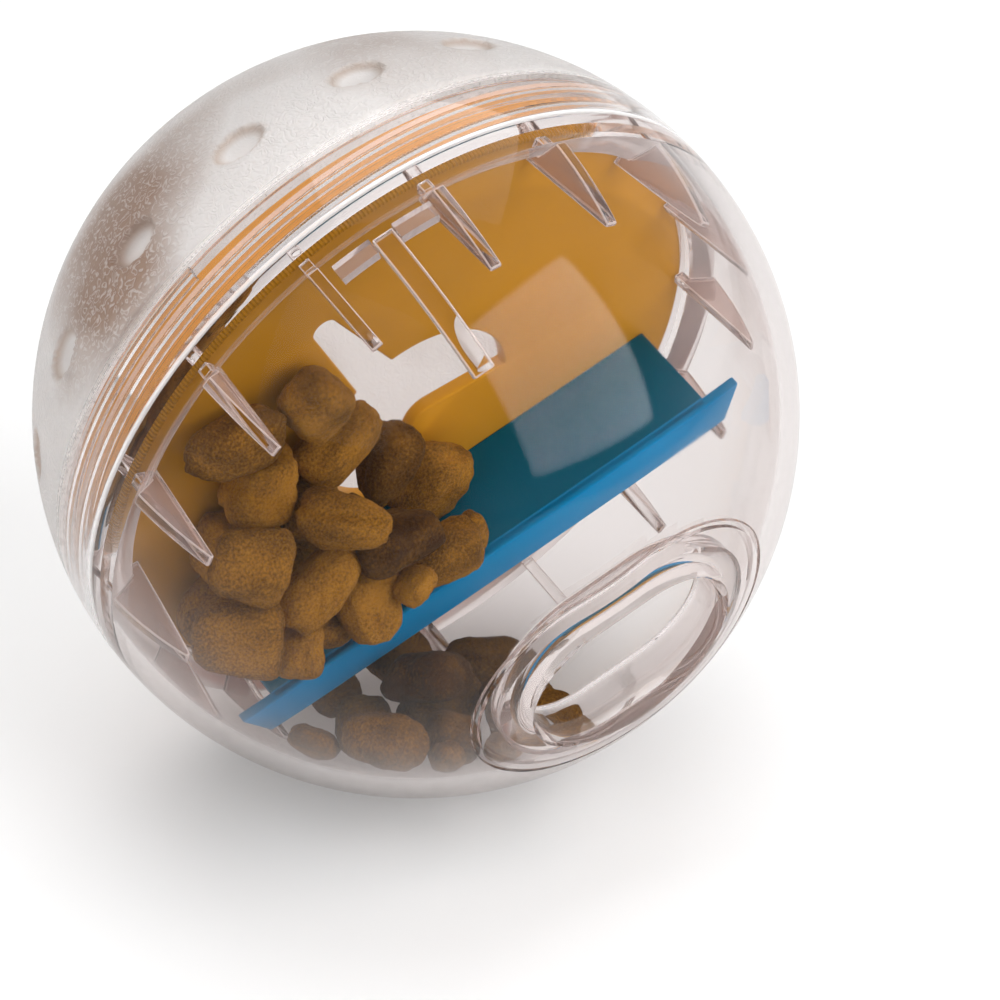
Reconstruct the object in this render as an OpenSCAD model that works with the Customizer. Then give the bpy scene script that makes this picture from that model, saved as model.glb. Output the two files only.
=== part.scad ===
// Treat ball: two clear half shells that screw together around an amber level disc with a blue divider.
// The origin is the ball's centre, +Z is up, and the ball lies with its outlet tipped forward and down.

/* [Ball] */
// outer diameter of the closed ball
ball_d = 100; // [98:1:112]
// wall of both half shells
wall = 2.5; // [2.2:0.1:3]
// how far the screw axis tips below level at the outlet, in degrees
axis_tilt = 18; // [10:1:30]
// gap between the two rims when the ball is closed
seam_gap = 0.3; // [0.2:0.05:0.5]

/* [Screw closure] */
// height of the threaded neck behind the seam
neck_h = 10; // [9:0.25:11]
// wall of the neck
neck_wall = 1.6; // [1.4:0.1:1.8]
// wall of the grip half around the mouth of its bore
bore_wall = 1.6; // [1.4:0.1:1.8]
// height of a thread ridge
thread_h = 1.1; // [0.9:0.1:1.3]
// width of a thread ridge at its foot
thread_foot = 1.3; // [1:0.1:1.4]
// width of a thread ridge at its crest
thread_crest = 0.7; // [0.5:0.1:0.9]
// travel of one full turn
thread_lead = 6; // [5.6:0.1:6.4]
// radial clearance between a crest and the wall it faces
thread_clear = 0.4; // [0.3:0.05:0.6]

/* [Outlet] */
// width of the oblong throat
throat_w = 19.5; // [18:0.25:21]
// length of the oblong throat, along the divider's rail
throat_l = 28; // [26:0.5:30]
// rounding of the lip, between the throat and the outside of the ball
lip_round = 3; // [2:0.25:3.5]
// straight length of the throat behind the lip
throat_h = 4; // [3:0.25:5]
// turn of the oblong throat around the screw axis, in degrees
outlet_turn = 22.5; // [20:0.25:25]
// width of the lip, from the throat to the fine groove around it
lip_band = 8; // [7:0.25:9]
// thickness of the collar around the inner end of the throat
collar_wall = 4; // [3.6:0.1:4.4]

/* [Ribs] */
// number of index ribs inside the outlet half
rib_count = 16; // [12:2:20]
// thickness of a rib
rib_t = 1.6; // [1.2:0.1:2]
// length of a rib along the axis
rib_len = 15.6; // [13:0.2:17]
// how far a rib reaches under the edge of the level disc
rib_under = 1.2; // [0.8:0.1:1.6]
// turn of the first rib about the axis, in degrees
rib_phase = 12; // [8:0.5:16]
// width of the long guide rib
guide_w = 3; // [2.4:0.1:3.6]
// height of the long guide rib over the wall
guide_h = 1.5; // [1:0.1:2]
// length of the long guide rib along the axis
guide_len = 20; // [18:0.5:22]

/* [Level disc] */
// thickness of the level disc
disc_t = 2; // [1.8:0.1:2.4]
// wall of the disc's skirt
skirt_wall = 1.4; // [1.2:0.1:1.8]
// height of the skirt behind the disc
skirt_h = 7; // [5:0.25:7.5]
// radial clearance of the disc in the neck
disc_clear = 0.3; // [0.25:0.05:0.5]
// gap between the disc and the rib ends
seat_gap = 0.2; // [0.15:0.05:0.3]
// radius of the round part of the food opening
opening_r = 14.3; // [13:0.1:15]
// angles at which the amber wedge that closes part of the opening starts and ends
wedge_from = -98; // [-104:1:-92]
// end angle of that wedge
wedge_to = 15; // [10:1:20]
// rounding of the wedge's tip
wedge_round = 4; // [3:0.25:5]
// distance of the finger slot's round end from the axis
finger_reach = 31.5; // [29:0.25:33]
// radius of the finger slot's round end
finger_tip_r = 1.7; // [1.4:0.1:2]
// width of the finger slot where it joins the round opening
finger_foot = 6.4; // [5.6:0.1:7]
// direction of the finger slot about the axis, in degrees
finger_turn = 130; // [124:1:136]

/* [Divider] */
// thickness of the divider panel
divider_t = 2; // [1.6:0.1:2.4]
// distance of the divider's upper face from the axis
divider_drop = 15; // [14.5:0.25:15.25]
// width of the divider panel
divider_w = 71; // [66:0.5:74]
// how far the divider stands out from the disc
divider_out = 15.4; // [14.6:0.1:15.8]
// height of the rail along the divider's front edge
rail_h = 6.4; // [5.5:0.1:6.6]
// thickness of that rail
rail_t = 1.6; // [1.4:0.1:2]
// turn of the divider about the axis, in degrees
divider_turn = 22.5; // [20:0.25:25]
// depth of the groove that holds the divider in the disc
groove_d = 1; // [0.8:0.1:1.2]
// clearance of the divider in its groove and of the rail's ends in the neck
divider_clear = 0.1; // [0.05:0.05:0.2]

/* [Grip dents] */
// number of finger dents around the grip half
dent_count = 16; // [12:1:18]
// depth of a dent
dent_depth = 0.9; // [0.6:0.05:1.1]
// radius of the round hollows that make up a dent
dent_r = 5; // [4:0.25:6]
// turn about the axis between the two hollows of a dent, in degrees
dent_span = 2.4; // [1.6:0.2:3]
// latitude of the dents behind the seam, in degrees
dent_lat = 23; // [20:0.5:26]
// turn of the first dent about the axis, in degrees
dent_phase = 7.5; // [0:0.5:20]

/* [Kibble] */
// diameter of a piece of kibble
kibble_d = 11; // [9:0.25:11.25]
// thickness of a piece of kibble
kibble_t = 6; // [5:0.25:6.5]

/* [Hidden] */
$fn = 96;
ball_r = ball_d / 2;
cavity_r = ball_r - wall;
mid_r = ball_r - wall / 2;
// the bore of the grip half ends a little behind the neck
bore_h = neck_h + 1.2;
bore_r = sqrt(ball_r * ball_r - bore_h * bore_h) - bore_wall;
neck_crest_r = bore_r - thread_clear;
neck_r = neck_crest_r - thread_h;
bore_crest_r = neck_r + thread_clear;
neck_bore_r = neck_r - neck_wall;
disc_r = neck_bore_r - disc_clear;
// the shoulder carries the neck on the outlet half
shoulder_h = 1.6;
shoulder_cone = 2.4;
// two thread starts, cut into arcs with short breaks as the mould leaves them
thread_starts = 2;
arc_step = 90;
arc_len = 84;
thread_root = 0.6;
neck_arcs = 5;
bore_arcs = 4;
thread_z0 = 1.4 - neck_h;
thread_pitch = thread_lead / thread_starts;
// ribs lean outwards along their inner edge
rib_in_r = disc_r - rib_under;
rib_end_r = rib_in_r + 1.7;
rib_steps = 6;
// the guide rib stands in the middle between two ribs
rib_step = 360 / rib_count;
guide_turn = rib_phase + 4.5 * rib_step;
guide_z0 = 5;
guide_end_d = guide_w + 0.6;
// short ledge across the top of the guide rib
ledge_h = 2.2;
ledge_z0 = 4.6;
ledge_depth = 1.8;
ledge_span = rib_step - 5;
// the lip rolls from the round outside into the throat
throat_r = throat_w / 2;
throat_off = (throat_l - throat_w) / 2;
lip_mid_r = throat_r + lip_round;
lip_mid_z = sqrt(pow(ball_r - lip_round, 2) - lip_mid_r * lip_mid_r);
lip_turn = atan2(lip_mid_z, lip_mid_r);
lip_steps = 10;
lip_groove = 0.5;
lip_groove_w = 0.8;
collar_r = throat_r + collar_wall;
collar_z0 = lip_mid_z - throat_h;
far = 2 * ball_d;
// the rail is cut round at its ends so that it passes the neck
rail_r = disc_r - divider_clear;
// pieces of kibble on the divider: in from the disc's left edge, above the divider, in front of the
// disc, then two tilts
upper_pile = [
    [41.7, 6.3, 4.6, 8, 4],
    [30.2, 6.3, 4.6, -6, 8],
    [18.7, 6.3, 4.6, 10, -6],
    [7.7, 9.5, 4.6, 4, 10],
    [36.2, 16.5, 4.6, -10, -4],
    [24.7, 16.5, 4.6, 6, -8],
    [13.2, 19.6, 4.6, -8, 6],
    [30.7, 27, 4.6, 9, 5],
    [19.2, 29.3, 4.6, -5, -9],
    [28.9, 38.5, 4.6, 8, 8],
    [17.4, 40.6, 4.6, -8, 8],
    [36, 5.9, 14.4, 75, 10],
    [24.5, 5.9, 14.4, -38, 12],
    [13.1, 6.6, 14.4, 20, 60],
    [30.3, 16.2, 14.4, 65, -30],
    [18.7, 16.5, 14.2, -45, -20],
    [24.7, 26.3, 14.1, 80, 25],
    [11.7, 28.5, 13, -60, 15],
    [7.2, 18.2, 14, -25, -35],
];
// pieces below the divider: along the wall to the right of the lowest point and forward of it, in from
// the wall, then two tilts
lower_pile = [
    [-2.3, 10.2, 6.4, 60, 10],
    [-18.2, -1.1, 8.4, 40, -30],
    [9.2, 4.6, 5, 10, 15],
    [-1.8, 32.6, 5.1, 18, 10],
    [-19.4, 11.8, 4.9, 16, -12],
    [-2.3, -3, 9.4, 20, 10],
    [5.2, 20.4, 5.1, 12, -8],
    [-9.8, 18.3, 12.7, -6, 6],
    [-11.6, 22.9, 5, 12, 10],
    [-27, 23.4, 4.6, 10, -8],
];

// turns a piece drawn about the screw axis, outlet upwards, into the pose in which the ball lies
module lying() {
    rotate([90 + axis_tilt, 0, 0]) children();
}

// one arc of thread ridge, tipped so that it climbs with the lead
module thread_arc(foot_r, crest_r, turn, z) {
    climb = atan(thread_lead / (2 * PI * crest_r));
    rotate([0, 0, turn])
        translate([0, 0, z])
            rotate([climb, 0, 0])
                rotate([0, 0, -arc_len / 2])
                    rotate_extrude(angle = arc_len)
                        polygon([
                            [foot_r, -thread_foot / 2],
                            [crest_r, -thread_crest / 2],
                            [crest_r, thread_crest / 2],
                            [foot_r, thread_foot / 2],
                        ]);
}

// all ridges of one thread, starting at height z0
module thread(foot_r, crest_r, arcs, z0) {
    for (start = [0 : thread_starts - 1], i = [0 : arcs - 1])
        thread_arc(
            foot_r, crest_r,
            start * 360 / thread_starts + i * arc_step,
            z0 + thread_lead * i * arc_step / 360
        );
}

// an index rib: a thin gusset under the disc's edge that runs out on the round wall
module rib() {
    end_z = seat_gap + rib_len;
    end_turn = asin(end_z / mid_r);
    rotate([90, 0, 0])
        linear_extrude(rib_t, center = true)
            polygon(concat(
                [[rib_end_r, end_z], [rib_in_r, seat_gap]],
                [for (i = [0 : rib_steps])
                    let (t = i * end_turn / rib_steps)
                    [mid_r * cos(t), max(seat_gap, mid_r * sin(t))]]
            ));
}

// the long guide rib follows the round wall and ends in a round boss
module guide_rib() {
    end_turn = acos((guide_z0 + guide_len) / cavity_r);
    intersection() {
        difference() {
            sphere(mid_r);
            sphere(cavity_r - guide_h);
        }
        union() {
            translate([0, -guide_w / 2, guide_z0]) cube([ball_r, guide_w, guide_len]);
            rotate([0, end_turn, 0]) cylinder(h = ball_r, d = guide_end_d);
        }
    }
}

// carries a profile, drawn from the middle line outwards, around the oblong outlet
module around_outlet(line) {
    for (side = [0, 180])
        rotate([0, 0, outlet_turn + side]) {
            translate([throat_off, 0, 0])
                rotate([0, 0, -90]) rotate_extrude(angle = 180) polygon(line);
            rotate([90, 0, 90]) linear_extrude(2 * throat_off, center = true) polygon(line);
        }
}

// outlet half: the smooth clear shell with outlet, ribs and the threaded neck
module outlet_half() {
    color([0.86, 0.84, 0.85, 0.4])
    lying()
    difference() {
        union() {
            difference() {
                sphere(ball_r);
                sphere(cavity_r);
                translate([0, 0, -far]) cylinder(h = far, r = far);
            }
            // shoulder and neck
            rotate_extrude()
                polygon([
                    [neck_bore_r, -neck_h],
                    [neck_r, -neck_h],
                    [neck_r, 0],
                    [mid_r, 0],
                    [mid_r - 0.1, shoulder_h + shoulder_cone],
                    [neck_bore_r, shoulder_h],
                ]);
            thread(neck_r - thread_root, neck_crest_r, neck_arcs, thread_z0);
            for (i = [0 : rib_count - 1])
                rotate([0, 0, rib_phase + i * rib_step]) rib();
            rotate([0, 0, guide_turn]) guide_rib();
            // ledge across the guide rib
            rotate([0, 0, guide_turn - ledge_span / 2])
                translate([0, 0, ledge_z0])
                    rotate_extrude(angle = ledge_span)
                        translate([cavity_r - ledge_depth, 0]) square([ledge_depth + wall / 2, ledge_h]);
            // collar around the inner end of the throat
            intersection() {
                around_outlet([[0, collar_z0], [collar_r, collar_z0], [collar_r, ball_r], [0, ball_r]]);
                sphere(mid_r);
            }
        }
        // throat and rounded lip
        around_outlet(concat(
            [[0, collar_z0 - collar_wall], [throat_r, collar_z0 - collar_wall]],
            [for (i = [0 : lip_steps])
                let (t = 180 - (180 - lip_turn) * i / lip_steps)
                [lip_mid_r + lip_round * cos(t), lip_mid_z + lip_round * sin(t)]],
            [[lip_mid_r + lip_round * cos(lip_turn), far], [0, far]]
        ));
        // fine groove that sets the lip off from the wall
        difference() {
            around_outlet([
                [throat_r + lip_band - lip_groove_w / 2, collar_z0 - collar_wall],
                [throat_r + lip_band + lip_groove_w / 2, collar_z0 - collar_wall],
                [throat_r + lip_band + lip_groove_w / 2, far],
                [throat_r + lip_band - lip_groove_w / 2, far],
            ]);
            sphere(ball_r - lip_groove);
        }
    }
}

// one finger dent: two round hollows side by side, pressed into the outside as one oval
module dent() {
    reach = ball_r + dent_r - dent_depth;
    for (side = [-1, 1])
        rotate([0, dent_lat, side * dent_span / 2]) translate([reach, 0, 0]) sphere(dent_r);
}

// grip half: the grained clear shell with finger dents, which screws over the neck
module grip_half() {
    color([0.93, 0.91, 0.9, 0.5])
    lying()
    difference() {
        union() {
            difference() {
                sphere(ball_r);
                sphere(cavity_r);
                translate([0, 0, -bore_h]) cylinder(h = far, r = bore_r);
                translate([0, 0, -seam_gap]) cylinder(h = far, r = far);
            }
            thread(bore_r + thread_root, bore_crest_r, bore_arcs, thread_z0 + thread_pitch / 2);
        }
        for (i = [0 : dent_count - 1])
            rotate([0, 0, dent_phase + i * 360 / dent_count]) dent();
    }
}

// the amber wedge that reaches to the middle of the food opening, with a round tip
module wedge() {
    half = (wedge_to - wedge_from) / 2;
    middle = (wedge_to + wedge_from) / 2;
    tip = wedge_round / sin(half);
    foot = wedge_round / tan(half);
    rotate(middle) {
        translate([tip, 0]) circle(wedge_round);
        polygon([
            [tip, 0],
            [foot * cos(half), foot * sin(half)],
            [2 * opening_r * cos(half), 2 * opening_r * sin(half)],
            [2 * opening_r, 0],
            [2 * opening_r * cos(half), -2 * opening_r * sin(half)],
            [foot * cos(half), -foot * sin(half)],
        ]);
    }
}

// the food opening: a round hole less the wedge, with a finger slot
module food_opening() {
    difference() {
        circle(opening_r);
        wedge();
    }
    tip_x = finger_reach - finger_tip_r;
    rotate(finger_turn) {
        polygon([
            [opening_r - finger_foot / 2, -finger_foot / 2],
            [opening_r - finger_foot / 2, finger_foot / 2],
            [tip_x, finger_tip_r],
            [tip_x, -finger_tip_r],
        ]);
        translate([tip_x, 0]) circle(finger_tip_r);
    }
}

// level disc: the amber partition with its skirt, which sits in the neck on the rib ends
module level_disc() {
    color([0.8, 0.55, 0.12, 0.8])
    lying()
    difference() {
        translate([0, 0, -disc_t - skirt_h]) cylinder(h = disc_t + skirt_h, r = disc_r);
        translate([0, 0, -disc_t - skirt_h - 1]) cylinder(h = skirt_h + 1, r = disc_r - skirt_wall);
        translate([0, 0, -disc_t - 1]) linear_extrude(disc_t + 2) food_opening();
        rotate([0, 0, divider_turn])
            translate([-divider_w / 2 - divider_clear, -divider_drop - divider_t - divider_clear, -groove_d])
                cube([divider_w + 2 * divider_clear, divider_t + 2 * divider_clear, far]);
    }
}

// divider: the blue panel that stands on the disc and carries kibble, with a rail along its front
module divider() {
    color([0, 0.5, 0.72])
    lying()
    rotate([0, 0, divider_turn])
    intersection() {
        union() {
            translate([-divider_w / 2, -divider_drop - divider_t, -groove_d])
                cube([divider_w, divider_t, groove_d + divider_out]);
            translate([-ball_r, -divider_drop - rail_h, divider_out - rail_t])
                cube([ball_d, rail_h, rail_t]);
        }
        translate([0, 0, -disc_t]) cylinder(h = ball_r, r = rail_r);
    }
}

// one piece of kibble: a baked tablet with a round side and two flat faces
module kibble() {
    intersection() {
        sphere(d = kibble_d);
        translate([0, 0, -kibble_t / 2]) cylinder(h = kibble_t, d = 2 * kibble_d);
    }
}

// kibble that has come through the opening and lies on the divider
module kibble_upper() {
    color([0.5, 0.34, 0.14])
    lying()
    rotate([0, 0, divider_turn])
    for (piece = upper_pile)
        translate([piece[0] - disc_r, piece[1] - divider_drop, piece[2]])
            rotate([piece[3], piece[4], 0]) kibble();
}

// kibble that has rolled past the divider and lies on the wall at the ball's lowest point
module kibble_lower() {
    wall_deg = 180 / (PI * cavity_r);
    color([0.42, 0.28, 0.13])
    for (piece = lower_pile)
        rotate([-piece[1] * wall_deg, -piece[0] * wall_deg, 0])
            translate([0, 0, piece[2] - cavity_r])
                rotate([piece[3], piece[4], 0]) kibble();
}

outlet_half();
grip_half();
level_disc();
divider();
kibble_upper();
kibble_lower();
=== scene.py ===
from math import acos, asin, atan2, cos, hypot, pi, radians, sin, sqrt

import bmesh
import bpy
from mathutils import Matrix, Vector, noise


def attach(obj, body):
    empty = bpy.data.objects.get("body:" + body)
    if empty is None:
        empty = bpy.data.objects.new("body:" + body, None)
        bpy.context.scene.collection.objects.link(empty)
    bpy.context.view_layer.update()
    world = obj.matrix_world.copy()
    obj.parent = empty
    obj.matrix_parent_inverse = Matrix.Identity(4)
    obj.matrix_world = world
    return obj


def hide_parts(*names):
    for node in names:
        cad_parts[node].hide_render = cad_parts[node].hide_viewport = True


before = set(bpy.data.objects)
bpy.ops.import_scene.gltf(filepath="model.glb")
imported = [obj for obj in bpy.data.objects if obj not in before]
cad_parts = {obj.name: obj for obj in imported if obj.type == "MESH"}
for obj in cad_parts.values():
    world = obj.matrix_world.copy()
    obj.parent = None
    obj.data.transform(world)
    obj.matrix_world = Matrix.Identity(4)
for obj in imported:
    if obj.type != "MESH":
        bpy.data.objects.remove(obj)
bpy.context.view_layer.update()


# Outlet half
# The smooth clear half shell, moulded in one piece with its oblong outlet, the threaded neck, the index
# ribs under the level disc and one long guide rib with its ledges. The whole ball rests on it.
mm = 0.001
ball_r = 50 * mm
wall = 2.5 * mm
cavity_r = ball_r - wall
neck_h = 10 * mm
bore_room = 1.2 * mm
grip_wall, neck_wall = 1.6 * mm, 1.6 * mm
thread_gap, thread_depth = 0.4 * mm, 1.1 * mm
disc_gap = 0.3 * mm
bore_h = neck_h + bore_room
bore_r = sqrt(ball_r**2 - bore_h**2) - grip_wall
neck_crest_r = bore_r - thread_gap
neck_r = neck_crest_r - thread_depth
neck_bore_r = neck_r - neck_wall
disc_r = neck_bore_r - disc_gap
neck_round = 0.5 * mm
throat_r = 9.75 * mm
throat_off = 4.25 * mm
outlet_turn = radians(22.5)
lip_round = 3 * mm
lip_mid_r = throat_r + lip_round
lip_mid_z = sqrt((ball_r - lip_round) ** 2 - lip_mid_r**2)
lip_turn = atan2(lip_mid_z, lip_mid_r)
lip_band = 8 * mm
groove_w, groove = 0.8 * mm, 0.5 * mm
collar_wall, throat_h = 4 * mm, 4 * mm
collar_r = throat_r + collar_wall
collar_end = lip_mid_z - throat_h
collar_round = 1.2 * mm
thread_lead = 6 * mm
thread_turn = radians(-42)
# the pieces are drawn about the screw axis, outlet upwards, and then laid down as the ball lies
lying_turn = radians(108)
lying = Matrix.Rotation(lying_turn, 4, "X")


def verts_of(geom):
    """Picks the vertices out of what an operator gives back."""
    return [part for part in geom if isinstance(part, bmesh.types.BMVert)]


def swing(bm, geom, angle, steps, centre=(0, 0, 0), axis=(0, 0, 1), rise=0, merge=False, copies=False):
    """Swings part of a mesh around a centre, about the screw axis unless told otherwise."""
    return bmesh.ops.spin(
        bm, geom=geom, cent=centre, axis=axis, dvec=(0, 0, rise), angle=angle, steps=steps,
        use_merge=merge, use_normal_flip=False, use_duplicate=copies,
    )


def turn_part(bm, angle):
    """Turns a part to its place around the screw axis."""
    bmesh.ops.rotate(bm, verts=bm.verts, cent=(0, 0, 0), matrix=Matrix.Rotation(angle, 3, "Z"))


def round_edges(bm, edges, offset, segments):
    """Rounds edges over, as a mould does."""
    return bmesh.ops.bevel(
        bm, geom=edges, offset=offset, segments=segments, profile=0.5, material=-1, affect="EDGES")


def side_to(bm, end, point):
    """Carries an outline on in a straight line."""
    corner = bm.verts.new(point)
    bm.edges.new((end, corner))
    return corner


def line_to(bm, end, r, z):
    """Carries a profile on to a radius and a height."""
    return side_to(bm, end, (r, 0, z))


def arc_to(bm, end, centre, angle, steps, axis=(0, -1, 0)):
    """Swings the end of a profile around a centre and leaves an arc behind."""
    return verts_of(swing(bm, [end], angle, steps, centre=centre, axis=axis)["geom_last"])[0]


def turn_on_axis(bm, steps):
    """Turns a closed profile once around the screw axis."""
    swing(bm, bm.verts[:] + bm.edges[:], 2 * pi, steps, merge=True)
    bmesh.ops.remove_doubles(bm, verts=bm.verts, dist=1e-7)


def sweep_bar(section, angle, steps, rise=0):
    """Sweeps a four-sided section around the screw axis and closes it at both ends."""
    bar = bmesh.new()
    corners = [bar.verts.new((r, 0, z)) for r, z in section]
    rim = [bar.edges.new((corners[i], corners[i - 1])) for i in range(4)]
    swept = swing(bar, corners + rim, angle, steps, rise=rise)
    bar.faces.new(corners)
    bmesh.ops.contextual_create(bar, geom=verts_of(swept["geom_last"]))
    return bar


def thread_ridge(foot_r, crest_r, first_z, turn, arc):
    """Winds one start of thread along the lead."""
    foot, crest = 0.65 * mm, 0.35 * mm
    steps_per_turn = 120
    turns = arc / (2 * pi)
    steps = round(turns * steps_per_turn)
    section = ((foot_r, -foot), (crest_r, -crest), (crest_r, crest), (foot_r, foot))
    ridge = sweep_bar(section, arc, steps, rise=thread_lead * turns / steps)
    turn_part(ridge, turn)
    bmesh.ops.translate(ridge, verts=ridge.verts, vec=(0, 0, first_z))
    return ridge


def add_part(whole, part):
    """Puts a finished part into the mesh of its piece."""
    mesh = bpy.data.meshes.new("part")
    part.to_mesh(mesh)
    part.free()
    whole.from_mesh(mesh)
    bpy.data.meshes.remove(mesh)


def make_piece(bm, name, body, material, sharp=35):
    """Lays the mesh down with the ball and hands it to the body that carries it."""
    bmesh.ops.recalc_face_normals(bm, faces=bm.faces)
    for face in bm.faces:
        face.smooth = True
    for edge in bm.edges:
        if len(edge.link_faces) == 2 and edge.calc_face_angle() > radians(sharp):
            edge.smooth = False
    bmesh.ops.transform(bm, matrix=lying, verts=bm.verts)
    mesh = bpy.data.meshes.new(name)
    bm.to_mesh(mesh)
    bm.free()
    mesh.materials.append(material)
    piece = bpy.data.objects.new(name, mesh)
    bpy.context.scene.collection.objects.link(piece)
    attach(piece, body)
    return piece


outlet_shell = bmesh.new()
# marks how cloudy thick or sharp plastic looks: 0.5 on the sides of ribs, about 1 on edges and crests
cloudy = outlet_shell.faces.layers.float.new("cloudy")
# the seam edge is a little rounded
seam_round = 0.4 * mm
end = first = outlet_shell.verts.new((ball_r - seam_round, 0, 0))
end = arc_to(outlet_shell, end, (ball_r - seam_round, 0, seam_round), pi / 2, 4)
# the profile runs through a round end of the oblong outlet
groove_in = throat_off + throat_r + lip_band - groove_w / 2
groove_out = groove_in + groove_w
groove_floor = ball_r - groove
roll_r = throat_off + lip_mid_r + lip_round * cos(lip_turn)
end = arc_to(outlet_shell, end, (0, 0, 0), acos(groove_out / ball_r) - asin(seam_round / ball_r), 56)
end = line_to(outlet_shell, end, groove_out, sqrt(groove_floor**2 - groove_out**2))
end = line_to(outlet_shell, end, groove_in, sqrt(groove_floor**2 - groove_in**2))
end = line_to(outlet_shell, end, groove_in, sqrt(ball_r**2 - groove_in**2))
end = arc_to(outlet_shell, end, (0, 0, 0), acos(roll_r / ball_r) - acos(groove_in / ball_r), 10)
end = line_to(outlet_shell, end, roll_r, lip_mid_z + lip_round * sin(lip_turn))
end = arc_to(outlet_shell, end, (throat_off + lip_mid_r, 0, lip_mid_z), pi - lip_turn, 18)
end = line_to(outlet_shell, end, throat_off + throat_r, collar_end + collar_round)
# round inner end of the collar
inner_round, outer_round = throat_off + throat_r + collar_round, throat_off + collar_r - collar_round
end = arc_to(outlet_shell, end, (inner_round, 0, collar_end + collar_round), pi / 2, 6)
end = line_to(outlet_shell, end, outer_round, collar_end)
end = arc_to(outlet_shell, end, (outer_round, 0, collar_end + collar_round), pi / 2, 6)
collar_top = sqrt(cavity_r**2 - (throat_off + collar_r) ** 2)
end = line_to(outlet_shell, end, throat_off + collar_r, collar_top)
# the cone of the shoulder meets the round cavity here
shoulder_foot_z = 1.6 * mm
shoulder_r = 47.38 * mm
shoulder_z = sqrt(cavity_r**2 - shoulder_r**2)
end = arc_to(outlet_shell, end, (0, 0, 0), asin(shoulder_z / cavity_r) - asin(collar_top / cavity_r), 64)
end = line_to(outlet_shell, end, neck_bore_r, shoulder_foot_z)
end = line_to(outlet_shell, end, neck_bore_r, neck_round - neck_h)
end = arc_to(outlet_shell, end, (neck_bore_r + neck_round, 0, neck_round - neck_h), pi / 2, 4)
end = line_to(outlet_shell, end, neck_r - neck_round, -neck_h)
end = arc_to(outlet_shell, end, (neck_r - neck_round, 0, neck_round - neck_h), pi / 2, 4)
end = line_to(outlet_shell, end, neck_r, 0)
outlet_shell.edges.new((end, first))
turn_on_axis(outlet_shell, 288)


def oblong_spot(r, share):
    """The spot at a share of the way around an oblong with straight sides and round ends of radius r."""
    quarter, side = pi / 2 * r, 2 * throat_off
    way = share * (4 * quarter + 2 * side)
    if way < quarter or way > 3 * quarter + 2 * side:
        turn = way / r if way < quarter else (way - 3 * quarter - 2 * side) / r - pi / 2
        return Vector((throat_off + r * cos(turn), r * sin(turn)))
    if way < quarter + side:
        return Vector((throat_off - (way - quarter), r))
    if way < 3 * quarter + side:
        turn = pi / 2 + (way - quarter - side) / r
        return Vector((-throat_off + r * cos(turn), r * sin(turn)))
    return Vector((-throat_off + way - 3 * quarter - side, -r))


# the outlet is pressed oblong, and the wall around it follows
oblong_in, oblong_out = 23.5 * mm, 35 * mm
for v in outlet_shell.verts:
    r = hypot(v.co.x, v.co.y)
    if v.co.z < 0 or r > oblong_out:
        continue
    out = v.co.length
    turn = atan2(v.co.y, v.co.x) - outlet_turn
    share = min(1, (oblong_out - r) / (oblong_out - oblong_in))
    share *= share * (3 - 2 * share)
    spot = Vector((r * cos(turn), r * sin(turn)))
    spot = spot.lerp(oblong_spot(r - throat_off, turn / (2 * pi) % 1), share)
    ball_z = sqrt(ball_r**2 - spot.length_squared)
    if min(abs(out - layer) for layer in (ball_r, groove_floor, cavity_r)) < 2e-6:
        z = sqrt(out**2 - spot.length_squared)
    else:
        z = min(v.co.z, ball_z)
    v.co = Matrix.Rotation(outlet_turn, 3, "Z") @ Vector((spot.x, spot.y, z))
bmesh.ops.remove_doubles(outlet_shell, verts=outlet_shell.verts, dist=1e-6)

# the cone of the shoulder looks cloudy, and the thick lip is faintly mauve
for face in outlet_shell.faces:
    middle = face.calc_center_median()
    r = hypot(middle.x, middle.y)
    if neck_bore_r + 0.1 * mm < r < shoulder_r and shoulder_foot_z < middle.z < shoulder_z:
        face[cloudy] = 1
    elif r < groove_in and middle.z > lip_mid_z:
        face[cloudy] = 0.14

# two starts of thread on the neck, a hair off its wall, one with a cloudy crest
hair = 0.01 * mm
neck_thread_z, neck_thread_arc = -9.3 * mm, radians(444)
for start in range(2):
    ridge = thread_ridge(
        neck_r + hair, neck_crest_r, neck_thread_z, start * pi + thread_turn, neck_thread_arc)
    cloudy_ridge = ridge.faces.layers.float.new("cloudy")
    for face in ridge.faces:
        on_crest = min(hypot(v.co.x, v.co.y) for v in face.verts) > neck_crest_r - 0.05 * mm
        face[cloudy_ridge] = 0.9 if on_crest and start == 0 else 0
    add_part(outlet_shell, ridge)

# index ribs: thin fins that run out on the round wall
rib_count, rib_step, rib_first = 16, radians(22.5), radians(12)
rib_t, rib_lean, rib_edge = 1.6 * mm, 1.7 * mm, 0.18 * mm
rib_r = disc_r - 1.2 * mm
rib_top, rib_end, rib_foot_z = 0.2 * mm, 15.8 * mm, 3.5 * mm
# the rib's back follows the cone of the shoulder and bites a little into the neck
rib_knee_r, rib_knee_z, rib_bite_r = neck_bore_r + 0.2 * mm, 1.85 * mm, neck_bore_r - 0.05 * mm
seat_r = cavity_r - 0.03 * mm
fins = bmesh.new()
end = first = fins.verts.new((seat_r * cos(asin(rib_end / seat_r)), 0, rib_end))
end = arc_to(fins, end, (0, 0, 0), asin(rib_foot_z / seat_r) - asin(rib_end / seat_r), 10)
end = line_to(fins, end, rib_knee_r, rib_knee_z)
end = line_to(fins, end, rib_bite_r, rib_top)
end = line_to(fins, end, rib_r, rib_top)
end = line_to(fins, end, rib_r + rib_lean, rib_end)
fins.edges.new((end, first))
side = bmesh.ops.contextual_create(fins, geom=fins.edges[:])["faces"]
bmesh.ops.translate(fins, verts=fins.verts, vec=(0, -rib_t / 2, 0))
pushed = bmesh.ops.extrude_face_region(fins, geom=side, use_keep_orig=True)
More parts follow.
